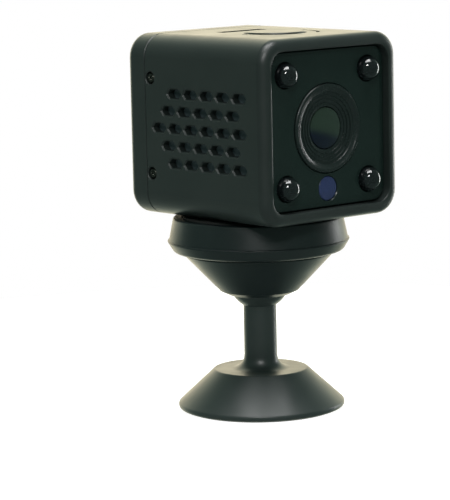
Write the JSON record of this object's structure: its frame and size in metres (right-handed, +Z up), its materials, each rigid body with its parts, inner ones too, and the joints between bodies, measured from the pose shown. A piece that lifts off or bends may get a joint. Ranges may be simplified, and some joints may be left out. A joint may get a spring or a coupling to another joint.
{
  "type": "security camera",
  "caption": "Small cube security camera with infrared lamps round its lens, on a magnetic disc and ball joint above a conical foot.",
  "frame": {"origin": "centre of the foot pad's underside", "axes": "+Z up the stem, lens looking along -Y, the side with the pinhole lamp towards -X"},
  "size_m": [0.0391, 0.0438, 0.0801],
  "materials": {
    "rubber": "soft matt black rubber",
    "stand_plastic": "satin moulded black ABS with a faint grey-green cast",
    "steel": "plain steel",
    "nylon": "natural nylon",
    "magnet_plating": "nickel plating",
    "shell_plastic": "fine-grained moulded black ABS",
    "panel_gloss": "glossy black",
    "black_screw": "black oxide",
    "smoked_epoxy": "smoke-tinted cast epoxy",
    "clear_acrylic": "clear moulded acrylic",
    "lens_glass": "coated glass",
    "blue_window": "dark blue tinted window",
    "sensor_cell": "photoresistor face",
    "silicon": "silicon under glass",
    "circuit_board": "solder mask",
    "battery_foil": "laminated pouch foil"
  },
  "bodies": {
    "stand": {"foot_pad": "rubber", "foot_shell": "stand_plastic", "foot_weight": "steel", "stem_screw": "steel", "ball_stem": "stand_plastic"},
    "pan_seat": {"inner_ball_seat": "nylon"},
    "tilt_seat": {"outer_ball_seat": "nylon"},
    "cup": {"socket_cup": "stand_plastic", "ring_magnet": "magnet_plating", "grip_pad": "rubber"},
    "clamp_nut": {"lock_nut": "stand_plastic"},
    "camera": {"main_shell": "shell_plastic", "rear_cover": "shell_plastic", "steel_plate": "steel", "side_screw_1": "black_screw", "side_screw_2": "black_screw", "side_screw_3": "black_screw", "side_screw_4": "black_screw", "front_panel": "panel_gloss", "lens_bezel": "panel_gloss", "led_board": "circuit_board", "sensor_window": "blue_window", "light_sensor": "sensor_cell", "infrared_lamp_1": "smoked_epoxy", "infrared_lamp_2": "smoked_epoxy", "infrared_lamp_3": "smoked_epoxy", "infrared_lamp_4": "smoked_epoxy", "lens_barrel": "panel_gloss", "front_lens": "lens_glass", "rear_lens": "lens_glass", "infrared_filter": "lens_glass", "lens_holder": "shell_plastic", "image_sensor": "silicon", "sensor_board": "circuit_board", "main_board": "circuit_board", "shield_can": "steel", "board_screw_1": "steel", "board_screw_2": "steel", "card_socket": "steel", "battery": "battery_foil", "antenna": "circuit_board", "rear_board": "circuit_board", "usb_socket": "steel", "usb_tongue": "shell_plastic", "reset_switch": "shell_plastic", "power_switch": "shell_plastic", "button_board": "circuit_board", "status_lamp": "nylon", "light_pipe": "clear_acrylic", "microphone": "steel"},
    "top_button": {"power_button": "panel_gloss"},
    "card": {"memory_card": "shell_plastic"},
    "reset_pin": {"reset_plunger": "nylon"}
  },
  "joints": [
    {"name": "pan", "type": "hinge", "parent": "stand", "child": "pan_seat", "pos_m": [0, 0, 0.0277], "axis": [0, 0, 1], "continuous": true},
    {"name": "tilt", "type": "hinge", "parent": "pan_seat", "child": "tilt_seat", "pos_m": [0, 0, 0.0277], "axis": [1, 0, 0], "range_deg": [-18, 18]},
    {"name": "lean", "type": "hinge", "parent": "tilt_seat", "child": "cup", "pos_m": [0, 0, 0.0277], "axis": [0, 1, 0], "range_deg": [-18, 18]},
    {"name": "nut_turn", "type": "hinge", "parent": "cup", "child": "clamp_nut", "pos_m": [0, 0, 0.0277], "axis": [0, 0, 1], "range_deg": [0, 90]},
    {"name": "swivel", "type": "hinge", "parent": "cup", "child": "camera", "pos_m": [0, 0, 0.0415], "axis": [0, 0, 1], "continuous": true},
    {"name": "button_press", "type": "slide", "parent": "camera", "child": "top_button", "axis": [0, 0, -1], "range_m": [0, 0.0004], "stiffness_N_per_m": 2500, "springref_m": -0.0002},
    {"name": "card_slide", "type": "slide", "parent": "camera", "child": "card", "axis": [0, 0, 1], "range_m": [0, 0.012]},
    {"name": "reset_press", "type": "slide", "parent": "camera", "child": "reset_pin", "axis": [0, -1, 0], "range_m": [0, 0.00025], "stiffness_N_per_m": 2500, "springref_m": -0.0001}
  ]
}
